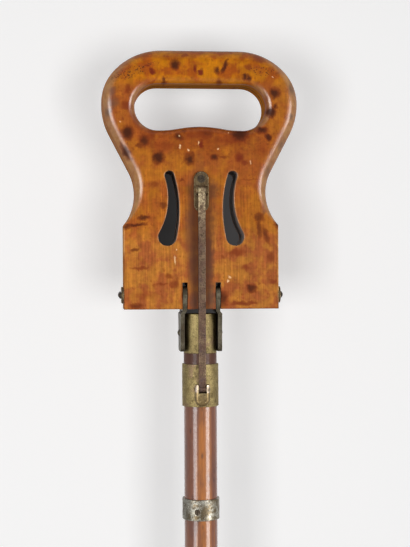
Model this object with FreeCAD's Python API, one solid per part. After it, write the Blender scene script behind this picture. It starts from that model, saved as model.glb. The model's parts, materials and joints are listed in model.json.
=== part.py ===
import FreeCAD, Part
import math
import os

# Antique shooting stick: a cane with two wooden leaves that fold out into a seat.
# Millimetres. The origin is the tip of the spike, +Z runs up the stick, -Y is the front.
# The hinge rods lie along X. The leaves are drawn shut, standing up as the handle.

# Clearances
fit_gap = 0.05        # round a pin, screw or tenon that is fixed in its hole
running_gap = 0.08    # round a pin that turns
seam_gap = 0.3        # from the middle plane to each leaf's inner face
seat_gap = 0.1        # between pieces that rest on each other
overrun = 2.0         # how far a cutting tool runs past what it cuts

# Stick
stick_radius = 11.4
stick_foot_radius = 9.6
hinge_height = 722.0
taper_start_drop = 190.0

# Leaves
leaf_thickness = 14.4
rod_to_seam = 9.6     # from a leaf's inner face to its hinge rod
block_half_width = 52.8
leaf_foot_drop = 9.6  # from the hinge rod down to the leaf's foot
crown_height = 167.4
crown_flat_half = 26.4
crown_radius = 44.1
crown_turn = 48.0     # degrees of crown arc each side
corner_radius = 32.1
flank_radius = 45.3
flank_slope = 27.5    # degrees of the straight flank off the vertical
waist_inset = 7.7     # how far the waist lies in from the block's sides
waist_radius = 33.6
outer_round = 9.0
outer_round_at_shoulder = 1.2
inner_round = 1.0

# Hand hole in each leaf
grip_thickness = 23.5  # from the crown down to the hole
hole_half_width = 44.9
hole_end_radius = 15.75
hole_hump_rise = 2.7
hole_round = 5.6

# Comma-shaped slot in each leaf, one each side
slot_below_hole = 27.8   # from the hole's lowest point down to the slot's top
slot_foot = 33.5
slot_top_radius = 3.3
slot_foot_radius = 6.2
slot_top_offset = 21.6   # from the middle plane to the middle of the slot's top
slot_foot_offset = 23.2
slot_inner_side_radius = 85.0
slot_outer_side_radius = 46.0
slot_edge_round = 0.45

# Hinge rods and their washers
rod_radius = 2.0
washer_radius = 5.6
washer_thickness = 1.3
rod_neck = 0.6
rod_head_radius = 2.5
rod_head_height = 1.6

# Head socket and side plates
head_top_drop = 13.0
head_length = 27.2
head_wall = 1.0
head_cap = 1.6
head_lip_round = 0.4
plate_thickness = 2.8
ear_offset = 11.35    # from the middle plane to the middle of an ear
ear_radius = 5.8
ear_side_gap = 0.4
ear_slot_above_rod = 8.5
plate_half_depth = 10.8
plate_foot_drop = 38.8
plate_foot_round = 3.0
plate_flare_drop = 21.0
plate_edge_round = 0.6
joggle_start_drop = 11.1
joggle_end_drop = 12.9
head_rivet_drop = 26.2
head_rivet_radius = 1.6
head_rivet_head_radius = 2.5
head_rivet_head_height = 1.4

# Bracket on each leaf, with its screws and pin
bracket_half_width = 5.1
bracket_top_eye_height = 78.9
bracket_foot_eye_height = 61.5
bracket_thickness = 1.6
bracket_edge_round = 0.5
cheek_thickness = 1.3
cheek_radius = 3.1
link_side_gap = 0.25
upper_pivot_height = 71.0
pivot_pin_radius = 1.25
pin_head_radius = 1.7
pin_head_height = 0.6
pin_dome_height = 0.35
screw_head_radius = 2.7
screw_head_rise = 0.35
screw_head_sink = 1.2
screw_shank_radius = 1.2
screw_length = 9.5
screw_slot_width = 0.7
screw_slot_depth = 0.7

# Links
link_width = 5.0
link_thickness = 3.2
link_eye_radius = 2.4
link_edge_round = 0.7
link_to_bracket = 0.3
hook_mouth_slope = 45.0  # degrees below level, with the link upright
hook_mouth_flare = 5.0   # degrees each side

# Slider and its lugs
slider_wall = 1.05
slider_gap = 0.12
slider_top_drop = 47.5
slider_length = 29.1
slider_lip_round = 0.35
lower_pivot_drop = 64.0
lug_stand_off = 3.33  # from the slider's surface to the lower pivot
lug_half_width = 5.0
lug_top_rise = 2.9    # above the lower pivot
lug_foot_drop = 11.7  # below the lower pivot
lug_slot_floor_drop = 2.7
lug_nose = 3.1        # in front of the lower pivot
lug_nose_round = 2.4

# Stop ring
ring_wall = 1.35
ring_height = 14.3
ring_lip_round = 0.35
ring_screw_turn = -16.0  # degrees round from the front
ring_screw_head_radius = 2.1
ring_screw_below_middle = 1.0

# Ferrule, ground plate and spike
spike_point_length = 22.0
spike_radius = 4.5
spike_tip_radius = 0.7
collar_radius = 8.4
collar_bottom = 55.0
collar_height = 5.0
collar_corner_round = 1.0
ground_plate_radius = 34.0
ground_plate_thickness = 2.5
ground_plate_rim_inner_radius = 17.0
ground_plate_crown_radius = 12.5
ground_plate_bottom = 54.0
ground_plate_edge_round = 0.9
spike_shank_radius = 3.5
spike_shank_length = 34.0
ferrule_length = 62.0
ferrule_wall = 0.9
ferrule_foot_radius = 8.6
ferrule_foot_thickness = 2.0
ferrule_bead_radius = 0.7
ferrule_pin_radius = 1.3
ferrule_pin_below_top = 9.0

# Sizes that follow from the ones above
waist_half_width = block_half_width - waist_inset
hole_top = crown_height - grip_thickness
hole_floor = hole_top - 2 * hole_end_radius
slot_length = hole_floor - slot_below_hole - slot_foot
rod_depth = seam_gap + rod_to_seam
leaf_face_depth = seam_gap + leaf_thickness
bracket_face_depth = leaf_face_depth + bracket_thickness
upper_pivot_depth = bracket_face_depth + link_to_bracket + link_eye_radius
slider_inner_radius = stick_radius + slider_gap
slider_outer_radius = slider_inner_radius + slider_wall
lower_pivot_depth = slider_outer_radius + lug_stand_off
link_half_width = link_width / 2
link_span = math.hypot(upper_pivot_depth - lower_pivot_depth, upper_pivot_height + lower_pivot_drop)

# With a leaf folded level, its bracket pin hangs this far out and below the hinge rod
open_pivot_depth = rod_depth + upper_pivot_height
open_pivot_drop = upper_pivot_depth - rod_depth
open_link_reach = open_pivot_depth - lower_pivot_depth
slider_travel = open_pivot_drop + math.sqrt(link_span**2 - open_link_reach**2) - lower_pivot_drop
link_lean_shut = math.atan2(upper_pivot_depth - lower_pivot_depth, upper_pivot_height + lower_pivot_drop)
link_lean_open = math.asin(open_link_reach / link_span)

slider_top = hinge_height - slider_top_drop
slider_bottom = slider_top - slider_length
ring_top = slider_bottom - slider_travel - seat_gap
ring_bottom = ring_top - ring_height
ring_radius = stick_radius + fit_gap + ring_wall
head_top = hinge_height - head_top_drop
head_bottom = head_top - head_length
collar_top = collar_bottom + collar_height
ground_plate_top = collar_top + ground_plate_thickness
ferrule_bottom = ground_plate_top
ferrule_top = ferrule_bottom + ferrule_length

ACROSS = FreeCAD.Vector(1, 0, 0)
BACK = FreeCAD.Vector(0, 1, 0)
UP = FreeCAD.Vector(0, 0, 1)
ORIGIN = FreeCAD.Vector(0, 0, 0)


def point(x, y, z):
    return FreeCAD.Vector(x, y, z)


def block(x_low, x_high, y_low, y_high, z_low, z_high):
    """A box between two corners."""
    return Part.makeBox(x_high - x_low, y_high - y_low, z_high - z_low, point(x_low, y_low, z_low))


def upright(radius, z_low, z_high):
    """A cylinder about the stick's axis."""
    return Part.makeCylinder(radius, z_high - z_low, point(0, 0, z_low), UP)


def crosswise(radius, half_length, y, z):
    """A cylinder along X, centred on the middle plane."""
    return Part.makeCylinder(radius, half_length * 2, point(-half_length, y, z), ACROSS)


def turned(profile):
    """A solid turned about the stick's axis from (radius, height) points."""
    corners = [point(radius, 0, z) for radius, z in profile]
    face = Part.Face(Part.makePolygon(corners + corners[:1]))
    return face.revolve(ORIGIN, UP, 360)


def domed_head(radius, height, base, direction):
    """A rivet head: the cap of a ball that stands on base and points along direction."""
    ball_radius = (radius**2 + height**2) / (2 * height)
    ball = Part.makeSphere(ball_radius, base - direction * (ball_radius - height))
    return ball.common(Part.makeCylinder(radius, height, base, direction))


def arc(centre, radius, start, end, y):
    """An arc in a plane of constant y. Centre is (x, z), and the angles are in degrees."""
    places = []
    for degrees in (start, (start + end) / 2, end):
        turn = math.radians(degrees)
        places.append(point(centre[0] + radius * math.cos(turn), y, centre[1] + radius * math.sin(turn)))
    return Part.Arc(*places).toShape()


def straight(start, end, y):
    """A straight edge in a plane of constant y, between (x, z) points."""
    return Part.makeLine(point(start[0], y, start[1]), point(end[0], y, end[1]))


def ends_of(edge):
    """The (x, z) places of an edge's two ends."""
    return [(vertex.X, vertex.Z) for vertex in (edge.firstVertex(True), edge.lastVertex(True))]


def both_sides(edges):
    """Edges on the right, with their mirror images on the left."""
    return edges + [edge.mirror(ORIGIN, ACROSS) for edge in edges]


def closed_face(edges):
    return Part.Face(Part.Wire(Part.__sortEdges__(edges)))


def turned_about(shape, degrees):
    """A copy turned about the stick's axis."""
    copy = shape.copy()
    copy.rotate(ORIGIN, UP, degrees)
    return copy


def leaf_side_edges(y):
    """The right side of a leaf's outline, from the crown's flat top down to the foot."""
    crown_centre = (crown_flat_half, hinge_height + crown_height - crown_radius)
    turn = math.radians(90 - crown_turn)
    step = crown_radius - corner_radius
    corner_centre = (crown_centre[0] + step * math.cos(turn), crown_centre[1] + step * math.sin(turn))
    widest = corner_centre[0] + corner_radius
    flank_centre = (widest - flank_radius, corner_centre[1])
    slope = math.radians(flank_slope)
    waist_x = waist_half_width + waist_radius
    reach = (flank_centre[0] - waist_x) * math.cos(slope) + flank_radius + waist_radius
    waist_centre = (waist_x, flank_centre[1] - reach / math.sin(slope))
    shoulder_turn = math.degrees(math.acos((waist_x - block_half_width) / waist_radius))
    crown = arc(crown_centre, crown_radius, 90, 90 - crown_turn, y)
    corner = arc(corner_centre, corner_radius, 90 - crown_turn, 0, y)
    flank = arc(flank_centre, flank_radius, 0, -flank_slope, y)
    waist = arc(waist_centre, waist_radius, 180 - flank_slope, 180 + shoulder_turn, y)
    shoulder = ends_of(waist)[1]
    foot = (block_half_width, hinge_height - leaf_foot_drop)
    return [crown, corner, flank, straight(ends_of(flank)[1], ends_of(waist)[0], y), waist,
            straight((block_half_width, shoulder[1]), foot, y)]


def leaf_face(y):
    crown = hinge_height + crown_height
    foot = hinge_height - leaf_foot_drop
    edges = both_sides(leaf_side_edges(y))
    edges.append(straight((-crown_flat_half, crown), (crown_flat_half, crown), y))
    edges.append(straight((-block_half_width, foot), (block_half_width, foot), y))
    return closed_face(edges)


def hand_hole(y, depth):
    """The hand hole: round ends, a flat top, and a low hump in the middle of its floor."""
    end_x = hole_half_width - hole_end_radius
    middle = hinge_height + hole_top - hole_end_radius
    floor = middle - hole_end_radius
    half_run = end_x / 2
    half_rise = hole_hump_rise / 2
    wave_radius = (half_run**2 + half_rise**2) / (2 * half_rise)
    wave_turn = math.degrees(math.asin(half_run / wave_radius))
    edges = both_sides([
        arc((end_x, middle), hole_end_radius, 90, -90, y),
        arc((end_x, floor + wave_radius), wave_radius, -90, -90 - wave_turn, y),
        arc((0, floor + hole_hump_rise - wave_radius), wave_radius, 90 - wave_turn, 90, y),
    ])
    top = hinge_height + hole_top
    edges.append(straight((-end_x, top), (end_x, top), y))
    return closed_face(edges).extrude(BACK * depth)


def bearing(start, end):
    """The direction from one (x, z) place to another, in degrees from 0 to 360."""
    return math.degrees(math.atan2(end[1] - start[1], end[0] - start[0])) % 360


def place_right_of(low, high, from_low, from_high):
    """The (x, z) place on the right of two others, at these distances from them."""
    span = math.dist(low, high)
    along = (from_low**2 - from_high**2 + span**2) / (2 * span)
    off = math.sqrt(from_low**2 - along**2)
    step = ((high[0] - low[0]) / span, (high[1] - low[1]) / span)
    return (low[0] + along * step[0] + off * step[1], low[1] + along * step[1] - off * step[0])


def comma_slot(y, depth):
    """The right-hand comma-shaped slot: two round ends joined by two long arcs that bow inward."""
    top = (slot_top_offset, hinge_height + slot_foot + slot_length - slot_top_radius)
    foot = (slot_foot_offset, hinge_height + slot_foot + slot_foot_radius)
    inner = place_right_of(foot, top, slot_inner_side_radius - slot_foot_radius,
                           slot_inner_side_radius - slot_top_radius)
    outer = place_right_of(foot, top, slot_outer_side_radius + slot_foot_radius,
                           slot_outer_side_radius + slot_top_radius)
    edges = [
        arc(top, slot_top_radius, bearing(inner, top), bearing(top, outer) - 360, y),
        arc(outer, slot_outer_side_radius, bearing(outer, top), bearing(outer, foot), y),
        arc(foot, slot_foot_radius, bearing(foot, outer), bearing(inner, foot) - 360, y),
        arc(inner, slot_inner_side_radius, bearing(inner, top), bearing(inner, foot), y),
    ]
    return closed_face(edges).extrude(BACK * depth)


def edges_on_face(shape, y, wanted):
    """Numbers, from 1, of the edges that lie in a plane of constant y and that wanted() picks."""
    found = []
    for number, edge in enumerate(shape.Edges, start=1):
        flat = all(abs(v.Y - y) < fit_gap for v in edge.Vertexes)
        if flat and abs(edge.BoundBox.YLength) < fit_gap and wanted(edge):
            found.append(number)
    return found


def rounded(shape, radii):
    """The shape with edges rounded. Radii holds (edge number, radius at its start, at its end)."""
    document = FreeCAD.newDocument("rounding")
    base = document.addObject("Part::Feature", "base")
    base.Shape = shape
    feature = document.addObject("Part::Fillet", "rounded")
    feature.Base = base
    feature.Edges = radii
    document.recompute()
    result = feature.Shape.copy()
    FreeCAD.closeDocument(document.Name)
    return result


def outline_radii(shape, y, full, at_shoulder):
    """Radii for the leaf's outline above the shoulders, which run out where they meet the block."""
    side = leaf_side_edges(y)
    waist_foot = ends_of(side[4])[1][1]
    low = waist_foot - fit_gap
    radii = []
    for number in edges_on_face(shape, y, lambda edge: edge.BoundBox.ZMin > low):
        edge = shape.Edges[number - 1]
        start, end = [vertex.Z for vertex in (edge.firstVertex(), edge.lastVertex())]
        starts_low = abs(start - waist_foot) < fit_gap
        ends_low = abs(end - waist_foot) < fit_gap
        radii.append((number, at_shoulder if starts_low else full, at_shoulder if ends_low else full))
    return radii


def leaf():
    """The front leaf, shut: the wooden seat half that stands in front of the middle plane."""
    outer, inner = -leaf_face_depth, -seam_gap
    board = leaf_face(outer).extrude(BACK * leaf_thickness)
    board = rounded(board, outline_radii(board, outer, outer_round, outer_round_at_shoulder))
    board = rounded(board, outline_radii(board, inner, inner_round, inner_round))
    foot = hinge_height - leaf_foot_drop
    foot_edges = edges_on_face(board, inner, lambda edge: abs(edge.BoundBox.ZMax - foot) < fit_gap)
    board = rounded(board, [(number, rod_to_seam, rod_to_seam) for number in foot_edges])

    depth = leaf_thickness + 2 * overrun
    board = board.cut(hand_hole(outer - overrun, depth))
    hole_low = hinge_height + hole_floor - fit_gap
    hole_high = hinge_height + hole_top + fit_gap
    hole_right = hole_half_width + fit_gap

    def on_hole(edge):
        box = edge.BoundBox
        inside = box.ZMin > hole_low and box.ZMax < hole_high
        return inside and box.XMax < hole_right and box.XMin > -hole_right

    board = rounded(board, [(n, hole_round, hole_round) for n in edges_on_face(board, outer, on_hole)])
    board = rounded(board, [(n, inner_round, inner_round) for n in edges_on_face(board, inner, on_hole)])

    slot = comma_slot(outer - overrun, depth)
    board = board.cut(slot).cut(slot.mirror(ORIGIN, ACROSS))
    slot_top = hinge_height + slot_foot + slot_length + overrun
    slot_low = hinge_height + slot_foot - overrun
    slot_far = slot_foot_offset + slot_foot_radius + overrun

    def on_slot(edge):
        box = edge.BoundBox
        return box.ZMin > slot_low and box.ZMax < slot_top and max(box.XMax, -box.XMin) < slot_far

    board = rounded(board, [(n, slot_edge_round, slot_edge_round)
                            for n in edges_on_face(board, outer, on_slot)])

    half_slot = plate_thickness / 2 + ear_side_gap
    for side in (-1, 1):
        middle = side * ear_offset
        board = board.cut(block(middle - half_slot, middle + half_slot, outer - overrun, inner + overrun,
                                foot - overrun, hinge_height + ear_slot_above_rod))
    board = board.cut(crosswise(rod_radius + fit_gap, block_half_width + overrun, -rod_depth, hinge_height))
    for height in (bracket_top_eye_height, bracket_foot_eye_height):
        hole_start = point(0, outer - overrun, hinge_height + height)
        hole_depth = overrun + screw_length - bracket_thickness
        board = board.cut(Part.makeCylinder(screw_shank_radius + fit_gap, hole_depth, hole_start, BACK))
    return board


def hinge_rod():
    """The front hinge rod, its ends peened into heads outside the washers."""
    half_length = block_half_width + seat_gap + washer_thickness + rod_neck
    rod = crosswise(rod_radius, half_length, -rod_depth, hinge_height)
    for side in (-1, 1):
        base = point(side * half_length, -rod_depth, hinge_height)
        rod = rod.fuse(domed_head(rod_head_radius, rod_head_height, base, ACROSS * side))
    return rod.removeSplitter()


def rod_washers():
    """The two washers of the front hinge rod."""
    washers = []
    for side in (-1, 1):
        start = point(side * (block_half_width + seat_gap), -rod_depth, hinge_height)
        disc = Part.makeCylinder(washer_radius, washer_thickness, start, ACROSS * side)
        hole_start = start - ACROSS * side * overrun
        hole = Part.makeCylinder(rod_radius + fit_gap, washer_thickness + 2 * overrun, hole_start, ACROSS * side)
        washers.append(disc.cut(hole))
    return Part.makeCompound(washers)


def bracket():
    """The front bracket: a plate with round ends and two cheeks that hold the upper pivot pin."""
    top = hinge_height + bracket_top_eye_height
    foot = hinge_height + bracket_foot_eye_height
    rear = -leaf_face_depth
    front = -bracket_face_depth
    outline = both_sides([
        arc((0, top), bracket_half_width, 0, 90, front),
        straight((bracket_half_width, foot), (bracket_half_width, top), front),
        arc((0, foot), bracket_half_width, -90, 0, front),
    ])
    plate = closed_face(outline).extrude(BACK * bracket_thickness)
    front_edges = edges_on_face(plate, front, lambda edge: True)
    plate = rounded(plate, [(n, bracket_edge_round, bracket_edge_round) for n in front_edges])
    pivot = hinge_height + upper_pivot_height
    inner_face = link_half_width + link_side_gap
    for side in (-1, 1):
        start = point(side * inner_face, -upper_pivot_depth, pivot)
        cheek = Part.makeCylinder(cheek_radius, cheek_thickness, start, ACROSS * side)
        low, high = sorted((side * inner_face, side * (inner_face + cheek_thickness)))
        web = block(low, high, -upper_pivot_depth, rear, pivot - cheek_radius, pivot + cheek_radius)
        cheek = cheek.fuse(web).common(block(low, high, -upper_pivot_depth - cheek_radius, rear,
                                             pivot - cheek_radius, pivot + cheek_radius))
        plate = plate.fuse(cheek)
    plate = plate.cut(crosswise(pivot_pin_radius + fit_gap, bracket_half_width + overrun,
                                -upper_pivot_depth, pivot))
    for height in (top, foot):
        plate = plate.cut(countersunk_screw(point(0, front, height), fit_gap, False))
    return plate.removeSplitter()


def countersunk_screw(place, gap, slotted=True):
    """A wood screw driven along +Y, its head's rim at the height of the metal that it holds."""
    radius = screw_head_radius + gap
    shank = screw_shank_radius + gap
    rise = screw_head_rise
    rim = place - BACK * rise
    head = Part.makeCylinder(radius, rise, rim, BACK)
    cone = Part.makeCone(radius, shank, screw_head_sink + gap, place, BACK)
    body = Part.makeCylinder(shank, screw_length, place, BACK)
    screw = head.fuse([cone, body])
    if slotted:
        half = screw_slot_width / 2
        screw = screw.cut(block(place.x - radius, place.x + radius, rim.y - overrun,
                                rim.y + screw_slot_depth, place.z - half, place.z + half))
    return screw.removeSplitter()


def bracket_screws():
    """The front bracket's two screws."""
    heights = (bracket_top_eye_height, bracket_foot_eye_height)
    places = [point(0, -bracket_face_depth, hinge_height + height) for height in heights]
    return Part.makeCompound([countersunk_screw(place, 0) for place in places])


def upper_pin():
    """The pin that holds the front link in its bracket, riveted over outside the cheeks."""
    half_length = link_half_width + link_side_gap + cheek_thickness
    y, z = -upper_pivot_depth, hinge_height + upper_pivot_height
    pin = crosswise(pivot_pin_radius, half_length, y, z)
    for side in (-1, 1):
        base = point(side * half_length, y, z)
        pin = pin.fuse(domed_head(pin_head_radius, pin_head_height, base, ACROSS * side))
    return pin.removeSplitter()


def link():
    """The front link, a flat bar from its bracket down to its lug, with an eye at the top.

    The eye at its foot is open towards the stick, so that the link hooks over the lug's pin.
    """
    half = link_thickness / 2
    bar = block(-link_half_width, link_half_width, -half, half, 0, link_span)
    long_edges = [edge for edge in bar.Edges if edge.BoundBox.ZLength > link_span - fit_gap]
    bar = bar.makeFillet(link_edge_round, long_edges)
    for z in (0, link_span):
        bar = bar.fuse(crosswise(link_eye_radius, link_half_width, 0, z))
    bar = bar.removeSplitter()
    bar = bar.cut(crosswise(pivot_pin_radius + running_gap, link_width, 0, link_span))
    bar = bar.cut(crosswise(pivot_pin_radius + running_gap, link_width, 0, 0))
    bar = bar.cut(hook_mouth())
    bar.rotate(ORIGIN, ACROSS, math.degrees(link_lean_shut))
    bar.translate(point(0, -lower_pivot_depth, hinge_height - lower_pivot_drop))
    return bar


def hook_mouth():
    """The opening of the hook at the link's foot, which faces the stick and slopes down."""
    radius = pivot_pin_radius + running_gap
    reach = link_eye_radius + overrun
    flare = reach * math.tan(math.radians(hook_mouth_flare))
    corners = [point(-link_width, 0, -radius), point(-link_width, reach, -radius - flare),
               point(-link_width, reach, radius + flare), point(-link_width, 0, radius)]
    mouth = Part.Face(Part.makePolygon(corners + corners[:1])).extrude(ACROSS * (2 * link_width))
    mouth.rotate(ORIGIN, ACROSS, -hook_mouth_slope)
    return mouth


def lower_pin():
    """The pin across the front lug that the link hooks over, filed to a low dome at each end."""
    half_length = lug_half_width
    y, z = -lower_pivot_depth, hinge_height - lower_pivot_drop
    pin = crosswise(pivot_pin_radius, half_length, y, z)
    for side in (-1, 1):
        base = point(side * half_length, y, z)
        pin = pin.fuse(domed_head(pivot_pin_radius, pin_dome_height, base, ACROSS * side))
    return pin.removeSplitter()


def lug():
    """The front lug, a brass block on the slider, slotted for the link and with a rounded foot."""
    y, z = -lower_pivot_depth, hinge_height - lower_pivot_drop
    front = y - lug_nose
    top = z + lug_top_rise
    foot = z - lug_foot_drop
    round_z = foot + lug_half_width
    outline = both_sides([straight((lug_half_width, round_z), (lug_half_width, top), front),
                          arc((0, round_z), lug_half_width, -90, 0, front)])
    outline.append(straight((-lug_half_width, top), (lug_half_width, top), front))
    body = closed_face(outline).extrude(BACK * -front)
    nose_edges = edges_on_face(body, front, lambda edge: edge.BoundBox.ZMin < top - fit_gap)
    body = rounded(body, [(n, lug_nose_round, lug_nose_round) for n in nose_edges])
    body = body.cut(upright(slider_outer_radius + fit_gap, foot - overrun, top + overrun))
    half_slot = link_half_width + link_side_gap
    body = body.cut(block(-half_slot, half_slot, front - overrun, 0,
                          z - lug_slot_floor_drop, top + overrun))
    return body.cut(crosswise(pivot_pin_radius + fit_gap, lug_half_width + overrun, y, z))


def slider():
    """The sleeve that runs on the stick between the head and the stop ring."""
    sleeve = upright(slider_outer_radius, slider_bottom, slider_top)
    sleeve = sleeve.makeFillet(slider_lip_round, ring_edges(sleeve, slider_outer_radius))
    return sleeve.cut(upright(slider_inner_radius, slider_bottom - overrun, slider_top + overrun))


def ring_edges(shape, radius):
    """The full circles of this radius on a turned shape."""
    return [edge for edge in shape.Edges
            if hasattr(edge.Curve, "Radius") and abs(edge.Curve.Radius - radius) < fit_gap]


def stick_radius_at(z):
    """The cane's radius at a height: even above the taper, then narrowing to the ferrule."""
    start = hinge_height - taper_start_drop
    if z >= start:
        return stick_radius
    share = (start - z) / (start - ferrule_top)
    return stick_radius + (stick_foot_radius - stick_radius) * share


def stick():
    """The cane, turned down at the top for the head socket and at the foot for the ferrule."""
    tenon_radius = stick_radius - head_wall - fit_gap
    foot_tenon = stick_foot_radius - ferrule_wall - fit_gap
    foot_end = ferrule_foot_radius - ferrule_wall - fit_gap
    bottom = ferrule_bottom + ferrule_foot_thickness + seat_gap
    cane = turned([
        (0, bottom), (foot_end, bottom), (foot_tenon, ferrule_top), (stick_foot_radius, ferrule_top),
        (stick_radius, hinge_height - taper_start_drop), (stick_radius, head_bottom),
        (tenon_radius, head_bottom), (tenon_radius, head_top - head_cap - seat_gap),
        (0, head_top - head_cap - seat_gap),
    ])
    cane = cane.cut(upright(spike_shank_radius + fit_gap, bottom - overrun, shank_top() + seat_gap))
    cane = cane.cut(crosswise(head_rivet_radius + fit_gap, stick_radius + overrun, 0, head_rivet_z()))
    cane = cane.cut(crosswise(ferrule_pin_radius + fit_gap, stick_radius + overrun, 0, ferrule_pin_z()))
    for screw in ring_screw_solids(fit_gap, False):
        cane = cane.cut(screw)
    return cane


def head_rivet_z():
    return head_top - head_rivet_drop + head_top_drop


def ferrule_pin_z():
    return ferrule_top - ferrule_pin_below_top


def shank_top():
    return collar_top + spike_shank_length


def head_socket():
    """The brass cap and tube on the top of the cane."""
    tube = upright(stick_radius, head_bottom, head_top)
    tube = tube.makeFillet(head_lip_round, ring_edges(tube, stick_radius))
    tube = tube.cut(upright(stick_radius - head_wall, head_bottom - overrun, head_top - head_cap))
    return tube.cut(crosswise(head_rivet_radius + fit_gap, stick_radius + overrun, 0, head_rivet_z()))


def side_plate(side):
    """A steel plate beside the socket, bent in above it and carrying both hinge rods."""
    lower_inner = stick_radius + fit_gap
    upper_inner = ear_offset - plate_thickness / 2
    foot = hinge_height - plate_foot_drop
    bend_low = hinge_height - joggle_end_drop
    bend_high = hinge_height - joggle_start_drop
    crown = hinge_height + ear_radius
    section = [(lower_inner, foot), (lower_inner, bend_low), (upper_inner, bend_high), (upper_inner, crown)]
    outside = [(x + plate_thickness, z) for x, z in reversed(section)]
    corners = [point(side * x, 0, z) for x, z in section + outside]
    strip = Part.Face(Part.makePolygon(corners + corners[:1]))
    half_depth = rod_depth + ear_radius
    strip.translate(BACK * -half_depth)
    strip = strip.extrude(BACK * (2 * half_depth))
    plan = side_plate_plan(min(side * upper_inner, side * (lower_inner + plate_thickness)))
    plate = strip.common(plan)
    for rod_y in (-rod_depth, rod_depth):
        plate = plate.cut(crosswise(rod_radius + running_gap, block_half_width, rod_y, hinge_height))
    plate = plate.cut(crosswise(head_rivet_radius + fit_gap, block_half_width, 0, head_rivet_z()))
    return plate.removeSplitter()


def side_plate_plan(x):
    """The plate's outline seen from the side, as a thick slab that starts at x."""
    foot = hinge_height - plate_foot_drop
    flare = hinge_height - plate_flare_drop
    crown = hinge_height + ear_radius
    width = plate_thickness + stick_radius
    half_depth = rod_depth + ear_radius
    strap = block(x, x + width, -plate_half_depth, plate_half_depth, foot, flare)
    foot_edges = [edge for edge in strap.Edges
                  if edge.BoundBox.XLength > width - fit_gap and edge.BoundBox.ZMax < foot + fit_gap]
    strap = strap.makeFillet(plate_foot_round, foot_edges)
    wing = [point(x, -plate_half_depth, flare), point(x, plate_half_depth, flare),
            point(x, half_depth, hinge_height), point(x, -half_depth, hinge_height)]
    flared = Part.Face(Part.makePolygon(wing + wing[:1])).extrude(ACROSS * width)
    bridge = block(x, x + width, -rod_depth, rod_depth, hinge_height, crown)
    ears = [Part.makeCylinder(ear_radius, width, point(x, y, hinge_height), ACROSS)
            for y in (-rod_depth, rod_depth)]
    return strap.fuse([flared, bridge] + ears).removeSplitter()


def head_rivet():
    """The rivet through both plates, the socket and the cane."""
    half_length = stick_radius + fit_gap + plate_thickness
    rivet = crosswise(head_rivet_radius, half_length, 0, head_rivet_z())
    for side in (-1, 1):
        base = point(side * half_length, 0, head_rivet_z())
        rivet = rivet.fuse(domed_head(head_rivet_head_radius, head_rivet_head_height, base, ACROSS * side))
    return rivet.removeSplitter()


def ring_screw_solids(gap, slotted=True):
    """The stop ring's two screws, one near the front and one opposite, let into the cane."""
    z = (ring_top + ring_bottom) / 2 - ring_screw_below_middle
    rim = ring_radius
    head = Part.makeCone(ring_screw_head_radius + gap, screw_shank_radius + gap,
                         ring_wall + gap, point(0, -rim, z), BACK)
    shank = Part.makeCylinder(screw_shank_radius + gap, screw_length, point(0, -rim, z), BACK)
    screw = head.fuse(shank)
    if slotted:
        half = screw_slot_width / 2
        screw = screw.cut(block(-half, half, -rim - overrun, -rim + screw_slot_depth,
                                z - screw_head_radius, z + screw_head_radius))
    return [turned_about(screw, ring_screw_turn), turned_about(screw, ring_screw_turn + 180)]


def stop_ring():
    """The ring fixed on the cane that the slider comes to rest on when the seat is open."""
    ring = upright(ring_radius, ring_bottom, ring_top)
    ring = ring.makeFillet(ring_lip_round, ring_edges(ring, ring_radius))
    ring = ring.cut(upright(stick_radius + fit_gap, ring_bottom - overrun, ring_top + overrun))
    for screw in ring_screw_solids(fit_gap, False):
        ring = ring.cut(screw)
    return ring


def ferrule():
    """The tapered brass ferrule on the foot of the cane."""
    top_radius = stick_foot_radius
    inside_top = top_radius - ferrule_wall
    inside_foot = ferrule_foot_radius - ferrule_wall
    floor = ferrule_bottom + ferrule_foot_thickness
    cup = turned([
        (0, ferrule_bottom), (ferrule_foot_radius, ferrule_bottom), (top_radius, ferrule_top),
        (inside_top, ferrule_top), (inside_foot, floor), (0, floor),
    ])
    bead = Part.makeTorus(top_radius, ferrule_bead_radius, point(0, 0, ferrule_top - ferrule_bead_radius), UP)
    inside = Part.makeCone(inside_foot, inside_top, ferrule_top - floor, point(0, 0, floor), UP)
    cup = cup.fuse(bead.cut(inside)).removeSplitter()
    cup = cup.cut(upright(spike_shank_radius + fit_gap, ferrule_bottom - overrun, floor + overrun))
    return cup.cut(crosswise(ferrule_pin_radius + fit_gap, stick_radius + overrun, 0, ferrule_pin_z()))


def ferrule_pin():
    """The pin through the ferrule and the cane, filed flush and slightly domed."""
    half_length = stick_foot_radius
    pin = crosswise(ferrule_pin_radius, half_length, 0, ferrule_pin_z())
    for side in (-1, 1):
        base = point(side * half_length, 0, ferrule_pin_z())
        pin = pin.fuse(domed_head(ferrule_pin_radius, pin_dome_height, base, ACROSS * side))
    return pin.removeSplitter()


def ground_plate():
    """The dished steel plate that stops the spike going deeper, with a flat rim."""
    low = ground_plate_bottom
    lift = collar_top - ground_plate_bottom
    inner = spike_shank_radius + fit_gap
    plate = turned([
        (inner, low + lift), (ground_plate_crown_radius, low + lift), (ground_plate_rim_inner_radius, low),
        (ground_plate_radius, low), (ground_plate_radius, low + ground_plate_thickness),
        (ground_plate_rim_inner_radius, low + ground_plate_thickness),
        (ground_plate_crown_radius, low + lift + ground_plate_thickness),
        (inner, low + lift + ground_plate_thickness),
    ])
    return plate.makeFillet(ground_plate_edge_round, ring_edges(plate, ground_plate_radius))


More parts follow.
